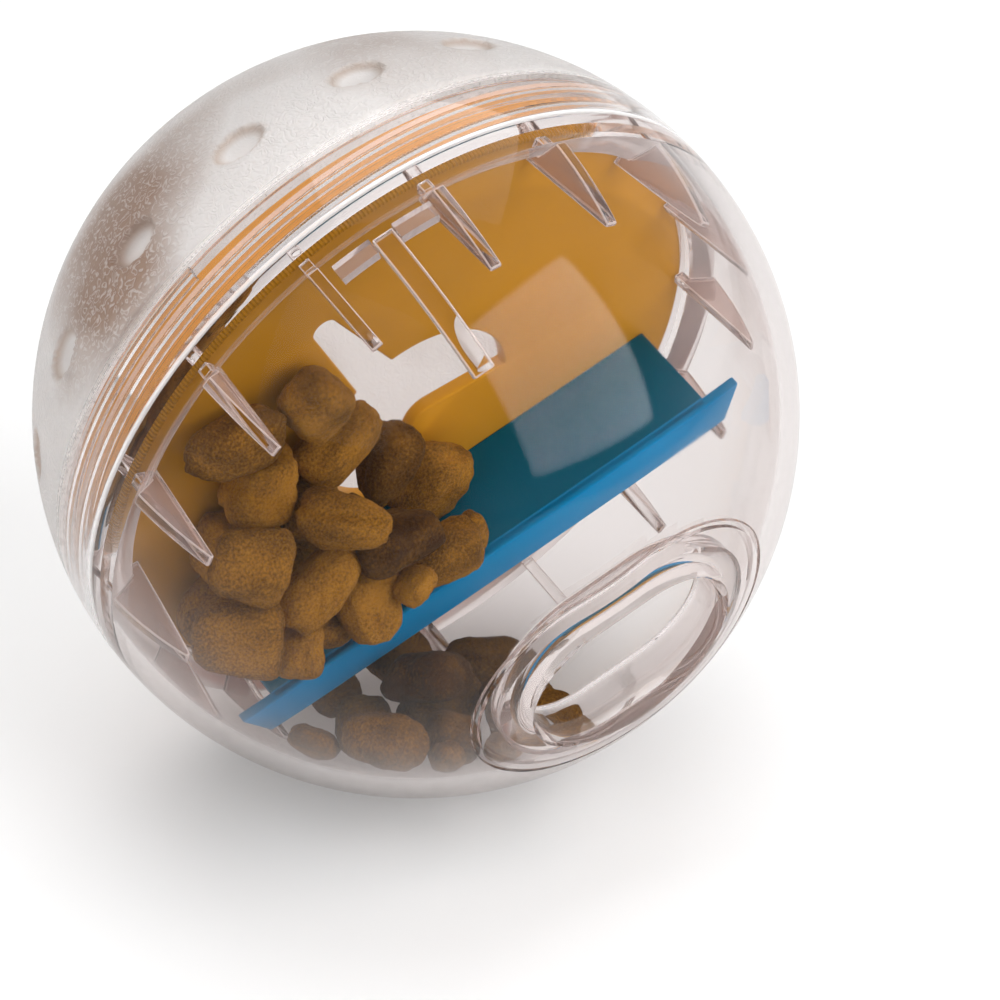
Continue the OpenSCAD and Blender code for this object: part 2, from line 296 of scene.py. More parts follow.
bmesh.ops.translate(fins, verts=verts_of(pushed["geom"]), vec=(0, rib_t, 0))
bmesh.ops.recalc_face_normals(fins, faces=fins.faces)
cloudy_fin = fins.faces.layers.float.new("cloudy")
for face in fins.faces:
    face[cloudy_fin] = 0.5 if abs(face.normal.y) > 0.9 else 0
rounded = round_edges(fins, [e for e in fins.edges if e.calc_face_angle() > radians(40)], rib_edge, 2)
for face in rounded["faces"]:
    face[cloudy_fin] = 1
turn_part(fins, rib_first)
one_fin = fins.verts[:] + fins.edges[:] + fins.faces[:]
swing(fins, one_fin, (rib_count - 1) * rib_step, rib_count - 1, copies=True)
add_part(outlet_shell, fins)

# the long guide rib, a flat strip on the wall with a round end
guide = bmesh.new()
guide_turn = rib_first + 4.5 * rib_step
guide_w, guide_t, guide_edge = 3 * mm, 1.5 * mm, 0.25 * mm
guide_low, guide_high = asin(5 * mm / cavity_r), asin(25 * mm / cavity_r)
guide_foot, guide_tip = [Vector((seat_r * cos(a), 0, seat_r * sin(a))) for a in (guide_low, guide_high)]
first = guide.verts.new((guide_foot.x, -guide_w / 2, guide_foot.z))
across = guide.verts.new((guide_foot.x, guide_w / 2, guide_foot.z))
rung = guide.edges.new((first, across))
strip = swing(guide, [first, across, rung], guide_high - guide_low, 24, axis=(0, -1, 0))
tip_side = [v for v in verts_of(strip["geom_last"]) if v.co.y > 0]
swing(guide, tip_side, -pi, 12, centre=guide_tip, axis=guide_tip.normalized())
bmesh.ops.remove_doubles(guide, verts=guide.verts, dist=1e-6)
round_end = [e for e in guide.edges if len(e.link_faces) < 2 and e.verts[0].co.z > 24 * mm]
bmesh.ops.holes_fill(guide, edges=round_end)
bmesh.ops.triangulate(guide, faces=[f for f in guide.faces if len(f.verts) > 4])
lifted = bmesh.ops.extrude_face_region(guide, geom=guide.faces[:], use_keep_orig=True)
bmesh.ops.scale(guide, verts=verts_of(lifted["geom"]), vec=[(cavity_r - guide_t) / seat_r] * 3)
bmesh.ops.recalc_face_normals(guide, faces=guide.faces)
cloudy_guide = guide.faces.layers.float.new("cloudy")
corners = [e for e in guide.edges if e.is_manifold and e.calc_face_angle() > radians(50)]
rounded = round_edges(guide, corners, guide_edge, 2)
for face in rounded["faces"]:
    face[cloudy_guide] = 1
turn_part(guide, guide_turn)
add_part(outlet_shell, guide)

# a short ledge on each side of it
ledge_arc, ledge_low, ledge_high, ledge_in = radians(6.7), 4.6 * mm, 6.8 * mm, 45.6 * mm
ledge_section = (
    (47.22 * mm, ledge_low), (46.96 * mm, ledge_high), (ledge_in, ledge_high), (ledge_in, ledge_low))
for side_turn in (-8.75, 2.05):
    ledge = sweep_bar(ledge_section, ledge_arc, 8)
    cloudy_ledge = ledge.faces.layers.float.new("cloudy")
    for face in ledge.faces:
        face[cloudy_ledge] = 0.3
    turn_part(ledge, guide_turn + radians(side_turn))
    add_part(outlet_shell, ledge)


def start_finish(name):
    """Starts a material and gives its nodes, its links and its main shader."""
    finish = bpy.data.materials.new(name)
    finish.use_nodes = True
    tree = finish.node_tree
    return finish, tree.nodes, tree.links, tree.nodes["Principled BSDF"]


def add_node(nodes, kind, values=None, **settings):
    """Adds a node with its settings and the values of its sockets."""
    made = nodes.new("ShaderNode" + kind)
    for name, setting in settings.items():
        setattr(made, name, setting)
    for socket, value in (values or {}).items():
        made.inputs[socket].default_value = value
    return made


def add_ramp(nodes, start, end, between=None):
    """Adds a colour ramp between two stops, or three, each a place and a colour."""
    made = add_node(nodes, "ValToRGB")
    stops = made.color_ramp.elements
    for stop, (place, colour) in ((stops[0], start), (stops[1], end)):
        stop.position, stop.color = place, (*colour, 1)
    if between:
        stops.new(between[0]).color = (*between[1], 1)
    return made


def along_axis(nodes, links, where):
    """Splits a place into its parts across the screw axis, X and Y, and along it, Z."""
    upright = add_node(nodes, "Mapping", {"Rotation": (-lying_turn, 0, 0)})
    split = add_node(nodes, "SeparateXYZ")
    links.new(where.outputs["Object"], upright.inputs["Vector"])
    links.new(upright.outputs["Vector"], split.inputs["Vector"])
    return split


def let_lamps_in(nodes, links, shader, passing):
    """Lets lamp light straight through a clear finish, in the colour that passes."""
    let_through = add_node(nodes, "BsdfTransparent")
    lamp_path = add_node(nodes, "LightPath")
    blend_lamps = add_node(nodes, "MixShader")
    links.new(passing.outputs["Result"], let_through.inputs["Color"])
    links.new(lamp_path.outputs["Is Shadow Ray"], blend_lamps.inputs["Fac"])
    links.new(shader.outputs["BSDF"], blend_lamps.inputs[1])
    links.new(let_through.outputs["BSDF"], blend_lamps.inputs[2])
    links.new(blend_lamps.outputs["Shader"], nodes["Material Output"].inputs["Surface"])


# clear polished plastic with the faint unevenness of a moulded surface
clear_ior = 1.49
free_light = (0.985, 0.98, 0.98, 1)
rosy_tint = (0.82, 0.72, 0.69, 1)
clear_smooth, nodes, links, shader = start_finish("clear_smooth")
shader.inputs["Specular Tint"].default_value = (0.15, 0.15, 0.15, 1)
shader.inputs["IOR"].default_value = clear_ior
where = add_node(nodes, "TexCoord")
rub = add_node(nodes, "TexNoise", {"Scale": 60, "Detail": 4})
rub_range = add_node(nodes, "MapRange", {
    "From Min": 0.45, "From Max": 0.8, "To Min": 0.0, "To Max": 0.06})
links.new(where.outputs["Object"], rub.inputs["Vector"])
links.new(rub.outputs["Fac"], rub_range.inputs["Value"])
links.new(rub_range.outputs["Result"], shader.inputs["Roughness"])
cloud_read = add_node(nodes, "Attribute", attribute_name="cloudy")
tone = add_ramp(
    nodes, (0, (0.95, 0.93, 0.926)), (1, (0.95, 0.87, 0.85)), between=(0.5, (0.6, 0.47, 0.43)))
links.new(cloud_read.outputs["Fac"], tone.inputs["Fac"])
edge_on = add_node(nodes, "LayerWeight", {"Blend": 0.5})
edge_share = add_node(nodes, "MapRange", {"From Min": 0.45, "To Max": 1.0})
rosy = add_node(nodes, "Mix", {"B": (0.66, 0.55, 0.52, 1)}, data_type="RGBA")
links.new(edge_on.outputs["Facing"], edge_share.inputs["Value"])
links.new(edge_share.outputs["Result"], rosy.inputs["Factor"])
links.new(tone.outputs["Color"], rosy.inputs["A"])
links.new(rosy.outputs["Result"], shader.inputs["Base Color"])
clearness = add_node(nodes, "MapRange", {"To Min": 1.0, "To Max": 0.58})
links.new(cloud_read.outputs["Fac"], clearness.inputs["Value"])
links.new(clearness.outputs["Result"], shader.inputs["Transmission Weight"])
# thick plastic has a rosy tint
tint = add_node(nodes, "VolumeAbsorption", {"Color": rosy_tint, "Density": 28})
links.new(tint.outputs["Volume"], nodes["Material Output"].inputs["Volume"])
# lamps reach the inside almost freely, and lose light where they cross the far wall as well
lamp_path = add_node(nodes, "LightPath")
far_wall = add_node(nodes, "Math", {1: 1.5}, operation="GREATER_THAN")
split = along_axis(nodes, links, where)
on_wall_part = add_node(nodes, "Math", {1: 3 * mm}, operation="GREATER_THAN")
shaded = add_node(nodes, "Math", operation="MULTIPLY")
passing = add_node(nodes, "Mix", {"A": free_light, "B": (0.6, 0.58, 0.57, 1)}, data_type="RGBA")
links.new(lamp_path.outputs["Transparent Depth"], far_wall.inputs[0])
links.new(split.outputs["Z"], on_wall_part.inputs[0])
links.new(far_wall.outputs["Value"], shaded.inputs[0])
links.new(on_wall_part.outputs["Value"], shaded.inputs[1])
links.new(shaded.outputs["Value"], passing.inputs["Factor"])
let_lamps_in(nodes, links, shader, passing)

outlet_piece = make_piece(outlet_shell, "outlet_shell_clear", "outlet_shell", clear_smooth)
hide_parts("outlet_half")


# Level disc
# The amber partition between the food store and the outlet half, moulded in translucent plastic with a
# skirt behind it. It drops into the neck and sits on the rib ends; its opening meters the food.
disc_t, disc_edge = 2 * mm, 0.3 * mm
opening_r = 14.3 * mm
disc = bmesh.new()


def polar(r, degrees_round):
    """The point on the face of the disc at a radius and an angle."""
    return (r * cos(radians(degrees_round)), r * sin(radians(degrees_round)), 0)


def round_to(bm, end, centre, degrees_round, steps):
    """Carries an outline on the face of the disc around a centre."""
    return arc_to(bm, end, centre, radians(degrees_round), steps, axis=(0, 0, 1))


# a round food opening with a finger slot to one side and a wedge of disc left in it, in degrees round
slot_at, slot_foot, slot_reach, slot_r = 130, 11.98, 29.8 * mm, 1.7 * mm
wedge_from, wedge_to = 15, 262
wedge_foot, wedge_tip = 2.647 * mm, 4.797 * mm
end = first = disc.verts.new(polar(opening_r, wedge_from))
end = round_to(disc, end, (0, 0, 0), slot_at - slot_foot - wedge_from, 30)
tip = Vector(polar(slot_reach, slot_at))
end = side_to(disc, end, tip + Vector(polar(slot_r, slot_at - 90)))
end = round_to(disc, end, tip, 180, 14)
end = side_to(disc, end, polar(opening_r, slot_at + slot_foot))
end = round_to(disc, end, (0, 0, 0), wedge_to - slot_at - slot_foot, 34)
end = side_to(disc, end, polar(wedge_foot, wedge_to))
end = round_to(disc, end, polar(wedge_tip, -41.5), -67, 12)
disc.edges.new((end, first))
bmesh.ops.create_circle(disc, cap_ends=False, segments=240, radius=disc_r)
bmesh.ops.triangle_fill(disc, use_beauty=True, use_dissolve=False, edges=disc.edges[:])
pressed = bmesh.ops.extrude_face_region(disc, geom=disc.faces[:], use_keep_orig=True)
bmesh.ops.translate(disc, verts=verts_of(pressed["geom"]), vec=(0, 0, -disc_t))
bmesh.ops.recalc_face_normals(disc, faces=disc.faces)
round_edges(disc, [e for e in disc.edges if e.calc_face_angle() > radians(60)], disc_edge, 3)
skirt_in = disc_r - 1.4 * mm
skirt_top, skirt_end = -disc_t - 0.02 * mm, -disc_t - 7 * mm
skirt = bmesh.new()
end = first = skirt.verts.new((disc_r, 0, skirt_top))
end = line_to(skirt, end, disc_r, skirt_end + disc_edge)
end = arc_to(skirt, end, (disc_r - disc_edge, 0, skirt_end + disc_edge), -pi / 2, 3)
end = line_to(skirt, end, skirt_in, skirt_end)
end = line_to(skirt, end, skirt_in, skirt_top)
skirt.edges.new((end, first))
turn_on_axis(skirt, 240)
add_part(disc, skirt)

# amber plastic: light comes through it, and it clouds a little
amber, nodes, links, shader = start_finish("amber")
shader.inputs["Roughness"].default_value = 0.3
shader.inputs["Transmission Weight"].default_value = 0.05
shader.inputs["Specular IOR Level"].default_value = 0.08
shader.inputs["IOR"].default_value = 1.5
where = add_node(nodes, "TexCoord")
cloud = add_node(nodes, "TexNoise", {"Scale": 28, "Detail": 3})
tone = add_ramp(nodes, (0.2, (0.50, 0.23, 0.012)), (0.85, (0.74, 0.335, 0.02)))
links.new(where.outputs["Object"], cloud.inputs["Vector"])
# fine upright teeth around the rim, on the disc's own axis
split = along_axis(nodes, links, where)
around = add_node(nodes, "Math", operation="ARCTAN2")
teeth_round = 520
teeth = add_node(nodes, "Math", {1: teeth_round}, operation="MULTIPLY")
wave = add_node(nodes, "Math", operation="SINE")
from_axis = add_node(nodes, "VectorMath", operation="LENGTH")
flat = add_node(nodes, "CombineXYZ")
# painted light: the amber is paler towards one side, where more light falls through it
painted_light_side = add_node(nodes, "Math", {1: 8}, operation="MULTIPLY_ADD")
links.new(split.outputs["X"], painted_light_side.inputs[0])
links.new(cloud.outputs["Fac"], painted_light_side.inputs[2])
links.new(painted_light_side.outputs["Value"], tone.inputs["Fac"])
at_rim = add_node(nodes, "Math", {1: disc_r - 0.35 * mm}, operation="GREATER_THAN")
height = add_node(nodes, "Math", operation="MULTIPLY")
# painted light: the thin skirt behind the disc is given a brighter amber, as if light came through it
# and it glowed
behind = add_node(nodes, "Math", {1: -disc_t - 0.01 * mm}, operation="LESS_THAN")
painted_glow = add_node(nodes, "Mix", {"B": (0.95, 0.42, 0.045, 1)}, data_type="RGBA")
links.new(behind.outputs["Value"], painted_glow.inputs["Factor"])
links.new(tone.outputs["Color"], painted_glow.inputs["A"])
links.new(painted_glow.outputs["Result"], shader.inputs["Base Color"])
on_disc = add_node(nodes, "Math", {0: 1}, operation="SUBTRACT")
links.new(behind.outputs["Value"], on_disc.inputs[1])
toothed = add_node(nodes, "Math", operation="MULTIPLY")
knurl = add_node(nodes, "Bump", {"Strength": 0.8, "Distance": 0.0002})
links.new(split.outputs["Y"], around.inputs[0])
links.new(split.outputs["X"], around.inputs[1])
links.new(around.outputs["Value"], teeth.inputs[0])
links.new(teeth.outputs["Value"], wave.inputs[0])
links.new(split.outputs["X"], flat.inputs["X"])
links.new(split.outputs["Y"], flat.inputs["Y"])
links.new(flat.outputs["Vector"], from_axis.inputs[0])
links.new(from_axis.outputs["Value"], at_rim.inputs[0])
links.new(wave.outputs["Value"], height.inputs[0])
links.new(split.outputs["Z"], behind.inputs[0])
links.new(at_rim.outputs["Value"], toothed.inputs[0])
links.new(on_disc.outputs["Value"], toothed.inputs[1])
links.new(toothed.outputs["Value"], height.inputs[1])
links.new(height.outputs["Value"], knurl.inputs["Height"])
links.new(knurl.outputs["Normal"], shader.inputs["Normal"])

disc_piece = make_piece(disc, "amber_level_disc", "insert", amber)
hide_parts("level_disc")


# Divider
# The blue panel that stands on the disc and holds back part of the food, injection moulded with a rail
# along its front edge. The rail's ends drop between two ribs and set the level.
divider = bmesh.new()
divider_drop = 15 * mm
divider_out = 15.4 * mm
divider_turn = radians(22.5)
divider_edge = 0.3 * mm
rail_h, rail_t = 6.4 * mm, 1.6 * mm
panel_w, panel_t = 71 * mm, 2 * mm
panel_out = divider_out - 0.4 * mm
rail_end_r = disc_r - 0.1 * mm
rail_reach = sqrt(rail_end_r**2 - divider_drop**2)
rail_reach_low = sqrt(rail_end_r**2 - (divider_drop + rail_h) ** 2)
panel = bmesh.ops.create_cube(divider, size=1)["verts"]
bmesh.ops.scale(divider, verts=panel, vec=(panel_w, panel_t, panel_out))
bmesh.ops.translate(divider, verts=panel, vec=(0, -divider_drop - panel_t / 2, panel_out / 2))
rail = bmesh.ops.create_cube(divider, size=1)["verts"]
bmesh.ops.scale(divider, verts=rail, vec=(1, rail_h, rail_t))
bmesh.ops.translate(
    divider, verts=rail, vec=(0, -divider_drop - rail_h / 2, divider_out - rail_t / 2))
for corner in rail:
    reach = rail_reach if corner.co.y > -divider_drop - rail_h / 2 else rail_reach_low
    corner.co.x = reach if corner.co.x > 0 else -reach
round_edges(divider, divider.edges[:], divider_edge, 3)
turn_part(divider, divider_turn)

# opaque blue plastic with a faint flow in its colour
blue, nodes, links, shader = start_finish("blue")
shader.inputs["Roughness"].default_value = 0.25
shader.inputs["Specular IOR Level"].default_value = 0.05
shader.inputs["IOR"].default_value = 1.5
where = add_node(nodes, "TexCoord")
flow = add_node(nodes, "TexNoise", {"Scale": 40, "Detail": 3})
tone = add_ramp(nodes, (0.3, (0.0, 0.21, 0.46)), (0.75, (0.0, 0.25, 0.55)))
links.new(where.outputs["Object"], flow.inputs["Vector"])
links.new(flow.outputs["Fac"], tone.inputs["Fac"])
# painted shade: the panel behind the rail is darkened against the rail
split = along_axis(nodes, links, where)
at_panel = add_node(nodes, "Math", {1: divider_out - rail_t}, operation="LESS_THAN")
painted_panel_shade = add_node(nodes, "Mix", {"B": (0.0, 0.12, 0.21, 1)}, data_type="RGBA")
links.new(split.outputs["Z"], at_panel.inputs[0])
links.new(at_panel.outputs["Value"], painted_panel_shade.inputs["Factor"])
links.new(tone.outputs["Color"], painted_panel_shade.inputs["A"])
links.new(painted_panel_shade.outputs["Result"], shader.inputs["Base Color"])

divider_piece = make_piece(divider, "blue_divider", "insert", blue)
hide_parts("divider")


# Kibble on the divider
# Dry dog food that has come through the disc's opening: baked lumps of several shapes, pale brown to
# dark, with a rough pitted skin. They lie loose on the divider.
upper_pile = [
    # in from the disc's edge, above the divider, in front of the disc, two tilts, shape, toast
    (41.7, 6.3, 4.6, 8, 4, "round", 0.35),
    (30.2, 6.3, 4.6, -6, 8, "oval", 0.5),
    (18.7, 6.3, 4.6, 10, -6, "round", 0.3),
    (7.7, 9.5, 4.6, 4, 10, "round", 0.4),
    (36.2, 16.5, 4.6, -10, -4, "oval", 0.6),
    (24.7, 16.5, 4.6, 6, -8, "round", 0.45),
    (13.2, 19.6, 4.6, -8, 6, "round", 0.3),
    (30.7, 27, 4.6, 9, 5, "oval", 0.35),
    (19.2, 29.3, 4.6, -5, -9, "round", 0.25),
    (28.9, 38.5, 4.6, 8, 8, "round", 0.4),
    (17.4, 40.6, 4.6, -8, 8, "oval", 0.5),
    (36, 5.9, 14.4, 75, 10, "oval", 0.4),
    (24.5, 5.9, 14.4, -38, 12, "round", 0.25),
    (13.1, 6.6, 14.4, 20, 60, "oval", 0.3),
    (30.3, 16.2, 14.4, 65, -30, "lobed", 0.74),
    (18.7, 16.5, 14.2, -45, -20, "oval", 0.3),
    (24.7, 26.3, 14.1, 80, 25, "oval", 0.35),
    (11.7, 28.5, 13, -60, 15, "round", 0.4),
    (7.2, 18.2, 14, -25, -35, "round", 0.35),
    # small bits in the gaps
    (30.4, 2.6, 12.6, 20, 40, "crumb", 0.3),
    (42, 2.4, 12.4, -15, 10, "crumb", 0.35),
    (18.8, 2.5, 12.6, 10, -30, "crumb", 0.4),
    (30.3, 8.8, 17.6, 60, 20, "crumb", 0.25),
]


# half sizes in millimetres and squareness of each shape
kibble_shapes = {
    "round": ((5.0, 4.4, 3.6), 4.2),
    "oval": ((6.0, 3.5, 3.3), 3.1),
    "lobed": ((6.3, 4.1, 3.5), 2.6),
    "crumb": ((3.2, 2.3, 2.0), 2.4),
}


def kibble_lump(shape, seed, toast_and_shade):
    """A baked lump: a ball pressed to its shape, then swollen and pitted unevenly."""
    lump = bmesh.new()
    bmesh.ops.create_icosphere(lump, subdivisions=5, radius=1)
    toast_and_shade_layer = lump.verts.layers.float.new("toast_and_shade")
    off = Vector((seed * 7.31, seed * 3.17, seed * 5.73))
    half, square = kibble_shapes[shape]
    long_way = 1 + 0.09 * sin(seed * 2.4)
    short_way = 1 + 0.09 * sin(seed * 1.7 + 1)
    for v in lump.verts:
        p = v.co.copy()
        pressed = (abs(p.x) ** square + abs(p.y) ** square + abs(p.z) ** square) ** (-1 / square)
        swell = 1 + 0.12 * noise.noise(p * 1.1 + off) + 0.07 * noise.noise(p * 2.7 + off * 2)
        if shape == "lobed":
            swell *= 1 + 0.15 * cos(3 * atan2(p.y, p.x)) * (1 - p.z * p.z)
        pits = 0.03 * noise.noise(p * 5 + off) + 0.022 * noise.noise(p * 11 + off)
        q = p * pressed * (swell + pits)
        # a lump tapers towards one end
        taper = 1 - 0.14 * q.x
        wide, thick = half[1] * short_way * taper, half[2] * taper
        v.co = Vector((q.x * half[0] * long_way, q.y * wide, q.z * thick)) * mm
        v[toast_and_shade_layer] = toast_and_shade + 0.2 * noise.noise(p * 1.5 + off)
    return lump


def pile_up(pile, place):
    """Puts each lump of a pile in its place, turned its own way."""
    heap = bmesh.new()
    heap.verts.layers.float.new("toast_and_shade")
    for seed, row in enumerate(pile, start=1):
        lump = kibble_lump(row[5], seed, row[6])
        turn_part(lump, radians(47 * seed))
        bmesh.ops.transform(lump, matrix=place(row), verts=lump.verts)
        add_part(heap, lump)
    return heap


def tilted(row):
    """The two tilts of a lump."""
    return Matrix.Rotation(radians(row[4]), 4, "Y") @ Matrix.Rotation(radians(row[3]), 4, "X")


def on_divider(row):
    """The place of a lump on the divider."""
    spot = Matrix.Translation((row[0] * mm - disc_r, row[1] * mm - divider_drop, row[2] * mm))
    return Matrix.Rotation(divider_turn, 4, "Z") @ spot @ tilted(row)


# dull baked food, speckled light and dark
baked, nodes, links, shader = start_finish("kibble")
shader.inputs["Roughness"].default_value = 0.7
shader.inputs["Specular IOR Level"].default_value = 0.12
where = add_node(nodes, "TexCoord")
speck = add_node(nodes, "TexNoise", {"Scale": 2900, "Detail": 4, "Roughness": 0.7})
toast_and_shade_read = add_node(nodes, "Attribute", attribute_name="toast_and_shade")
mixed = add_node(nodes, "Math", {1: 1.15}, operation="MULTIPLY_ADD")
tone = add_ramp(
    nodes, (0.3, (0.46, 0.212, 0.026)), (1, (0.042, 0.017, 0.005)), between=(0.66, (0.17, 0.078, 0.014)))
links.new(where.outputs["Object"], speck.inputs["Vector"])
links.new(speck.outputs["Fac"], mixed.inputs[0])
lighter = add_node(nodes, "Math", {1: 0.42}, operation="SUBTRACT")
links.new(toast_and_shade_read.outputs["Fac"], lighter.inputs[0])
links.new(lighter.outputs["Value"], mixed.inputs[2])
links.new(mixed.outputs["Value"], tone.inputs["Fac"])
links.new(tone.outputs["Color"], shader.inputs["Base Color"])
crumb = add_node(nodes, "TexNoise", {"Scale": 2000, "Detail": 5, "Roughness": 0.65})
rough_skin = add_node(nodes, "Bump", {"Strength": 0.8, "Distance": 0.0007})
links.new(where.outputs["Object"], crumb.inputs["Vector"])
links.new(crumb.outputs["Fac"], rough_skin.inputs["Height"])
links.new(rough_skin.outputs["Normal"], shader.inputs["Normal"])

upper_heap = make_piece(
    pile_up(upper_pile, on_divider), "kibble_on_divider", "insert", baked, sharp=180)
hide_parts("kibble_upper")


# Kibble below the divider
# The same food where it has rolled past the divider: it lies on the round wall at the ball's lowest
# point and waits to fall out.
lower_pile = [
    # along the wall to the right and forward, in from the wall, two tilts, shape, toast; these lumps are
    # set darker as painted shade under the divider
    (-2.3, 10.2, 6.4, 60, 10, "round", 0.62),
    (-18.2, -1.1, 8.4, 40, -30, "oval", 0.6),
    (9.2, 4.6, 5, 10, 15, "round", 0.65),
    (-1.8, 32.6, 5.1, 18, 10, "oval", 0.55),
    (-19.4, 11.8, 4.9, 16, -12, "oval", 0.55),
    (-2.3, -3, 9.4, 20, 10, "round", 0.65),
    (5.2, 20.4, 5.1, 12, -8, "round", 0.6),
    (-9.8, 18.3, 12.7, -6, 6, "lobed", 0.8),
    (-11.6, 22.9, 5, 12, 10, "oval", 0.55),
    (-27, 23.4, 4.6, 10, -8, "oval", 0.5),
    # small bits beside them
    (-31.5, 14, 2.7, 0, 6, "crumb", 0.5),
    (-10.6, 33.4, 2.7, 5, 0, "crumb", 0.55),
    (-18.6, 29, 2.7, 0, -5, "crumb", 0.5),
]


def on_wall(row):
    """The place of a lump on the round wall."""
    right, forward = [-along * mm / cavity_r for along in row[:2]]
    turned = Matrix.Rotation(right, 4, "Y") @ Matrix.Rotation(forward, 4, "X")
    spot = Matrix.Translation((0, 0, row[2] * mm - cavity_r))
    return lying.inverted() @ turned @ spot @ tilted(row)


lower_heap = make_piece(
    pile_up(lower_pile, on_wall), "kibble_below_divider", "outlet_shell", baked, sharp=180)
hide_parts("kibble_lower")


# Grip half
# The second clear half shell, which screws over the neck and closes the food store. Its outside has a
# fine leather grain and a row of oval finger dents.
grip = bmesh.new()
cloudy = grip.faces.layers.float.new("cloudy")
rim_z = -0.3 * mm
rim_round = 0.5 * mm
round_r = sqrt((ball_r - rim_round) ** 2 - (rim_z - rim_round) ** 2)
end = first = grip.verts.new((round_r, 0, rim_z))
end = arc_to(grip, end, (round_r, 0, rim_z - rim_round), -pi / 2, 5)
end = arc_to(grip, end, (0, 0, 0), -pi / 2 - atan2(end.co.z, end.co.x), 150)
end.co.x = 0
end = line_to(grip, end, 0, -cavity_r)
end = arc_to(grip, end, (0, 0, 0), pi / 2 - asin(bore_h / cavity_r), 48)
end = line_to(grip, end, bore_r, -bore_h)
end = line_to(grip, end, bore_r, rim_z)
grip.edges.new((end, first))
# the edge on the axis closes the profile but isn't turned with it
for e in [e for e in grip.edges if all(abs(v.co.x) < 1e-9 for v in e.verts)]:
    grip.edges.remove(e)
turn_on_axis(grip, 400)
# the flat end of the rim looks white
for face in grip.faces:
    face[cloudy] = min(v.co.z for v in face.verts) > rim_z - 0.4 * mm
# finger dents pressed into the outside, smooth inside; their mark carries painted shade on the slopes
# and painted light in the middles
dent_mark = grip.verts.layers.float.new("dent")
dent_lat, dent_first, dent_step = radians(23), radians(7.5), radians(22.5)
dent_l, dent_w, dent_depth, dent_edge = 3.7 * mm, 2.8 * mm, 1.3 * mm, 1.3
for v in grip.verts:
    out = v.co.length
    if out < ball_r - 0.2 * mm or not -0.55 < v.co.z / ball_r < -0.25:
        continue
    k = round((atan2(v.co.y, v.co.x) - dent_first) / dent_step)
    at = Matrix.Rotation(dent_first + dent_step * k, 3, "Z") @ Vector((cos(dent_lat), 0, -sin(dent_lat)))
    along = Vector((0, 0, 1)).cross(at).normalized()
    up = at.cross(along)
    reach = (v.co.dot(along) / dent_l) ** 2 + (v.co.dot(up) / dent_w) ** 2
    v[dent_mark] = max(0, dent_edge - reach) / dent_edge
    if reach < 1:
        v.co *= 1 - dent_depth * (1 - reach) ** 0.5 / out
# two starts of thread in the bore
bore_thread_z, bore_thread_arc = -7.8 * mm, radians(354)
for start in range(2):
    add_part(grip, thread_ridge(
        bore_r - hair, neck_r + thread_gap, bore_thread_z, start * pi + thread_turn, bore_thread_arc))

# the same clear plastic, milky where it is grained
grain_white = (0.97, 0.955, 0.945)
clear_grained, nodes, links, shader = start_finish("clear_grained")
shader.inputs["Specular Tint"].default_value = (0.5, 0.5, 0.5, 1)
shader.inputs["IOR"].default_value = clear_ior
where = add_node(nodes, "TexCoord")
# short wandering wrinkles about half a millimetre apart
stray = add_node(nodes, "TexNoise", {"Scale": 450, "Detail": 1})
bend = add_node(nodes, "VectorMath", {1: (0.0022, 0.0022, 0.0022)}, operation="MULTIPLY_ADD")
wrinkle = add_node(nodes, "TexNoise", {"Scale": 760, "Detail": 1})
ridge_of = add_node(nodes, "Math", {1: 0.12}, operation="PINGPONG")
split = along_axis(nodes, links, where)
grained = add_node(nodes, "MapRange", {
    "From Min": -8.8 * mm, "From Max": -10.4 * mm, "To Min": 0, "To Max": 1})
from_middle = add_node(nodes, "VectorMath", operation="LENGTH")
outside = add_node(nodes, "Math", {1: cavity_r + 0.6 * mm}, operation="GREATER_THAN")
grain_here = add_node(nodes, "Math", operation="MULTIPLY")
links.new(where.outputs["Object"], from_middle.inputs[0])
links.new(from_middle.outputs["Value"], outside.inputs[0])
links.new(grained.outputs["Result"], grain_here.inputs[0])
links.new(outside.outputs["Value"], grain_here.inputs[1])
grain = grain_here.outputs["Value"]
dent_read = add_node(nodes, "Attribute", attribute_name="dent")
no_dent = add_node(nodes, "MapRange", {"From Min": 0.3, "From Max": 0.5, "To Min": 1.0, "To Max": 0.25})
links.new(dent_read.outputs["Fac"], no_dent.inputs["Value"])
wrinkled = add_node(nodes, "Math", operation="MULTIPLY")
links.new(grain, wrinkled.inputs[0])
links.new(no_dent.outputs["Result"], wrinkled.inputs[1])
height = add_node(nodes, "Math", operation="MULTIPLY")
depth = add_node(nodes, "Bump", {"Strength": 0.7, "Distance": 0.0008})
links.new(where.outputs["Object"], stray.inputs["Vector"])
links.new(stray.outputs["Color"], bend.inputs[0])
links.new(where.outputs["Object"], bend.inputs[2])
links.new(bend.outputs["Vector"], wrinkle.inputs["Vector"])
links.new(wrinkle.outputs["Fac"], ridge_of.inputs[0])
links.new(split.outputs["Z"], grained.inputs["Value"])
links.new(ridge_of.outputs["Value"], height.inputs[0])
links.new(wrinkled.outputs["Value"], height.inputs[1])
links.new(height.outputs["Value"], depth.inputs["Height"])
links.new(depth.outputs["Normal"], shader.inputs["Normal"])
# polished over the thread, a little dull where it is grained
milky = add_node(nodes, "MapRange", {"To Min": 0.99, "To Max": 0.6})
links.new(grain, milky.inputs["Value"])
cloud_read = add_node(nodes, "Attribute", attribute_name="cloudy")
clearness = add_node(nodes, "MapRange", {"To Min": 1.0, "To Max": 0.4})
both = add_node(nodes, "Math", operation="MULTIPLY")
links.new(cloud_read.outputs["Fac"], clearness.inputs["Value"])
links.new(milky.outputs["Result"], both.inputs[0])
links.new(clearness.outputs["Result"], both.inputs[1])
links.new(both.outputs["Value"], shader.inputs["Transmission Weight"])
# painted shade: the colour drifts in patches between brown and white
shade_drift = add_node(nodes, "TexNoise", {"Scale": 32, "Detail": 2})
tone = add_ramp(nodes, (0.24, (0.36, 0.22, 0.15)), (0.56, grain_white))
links.new(where.outputs["Object"], shade_drift.inputs["Vector"])
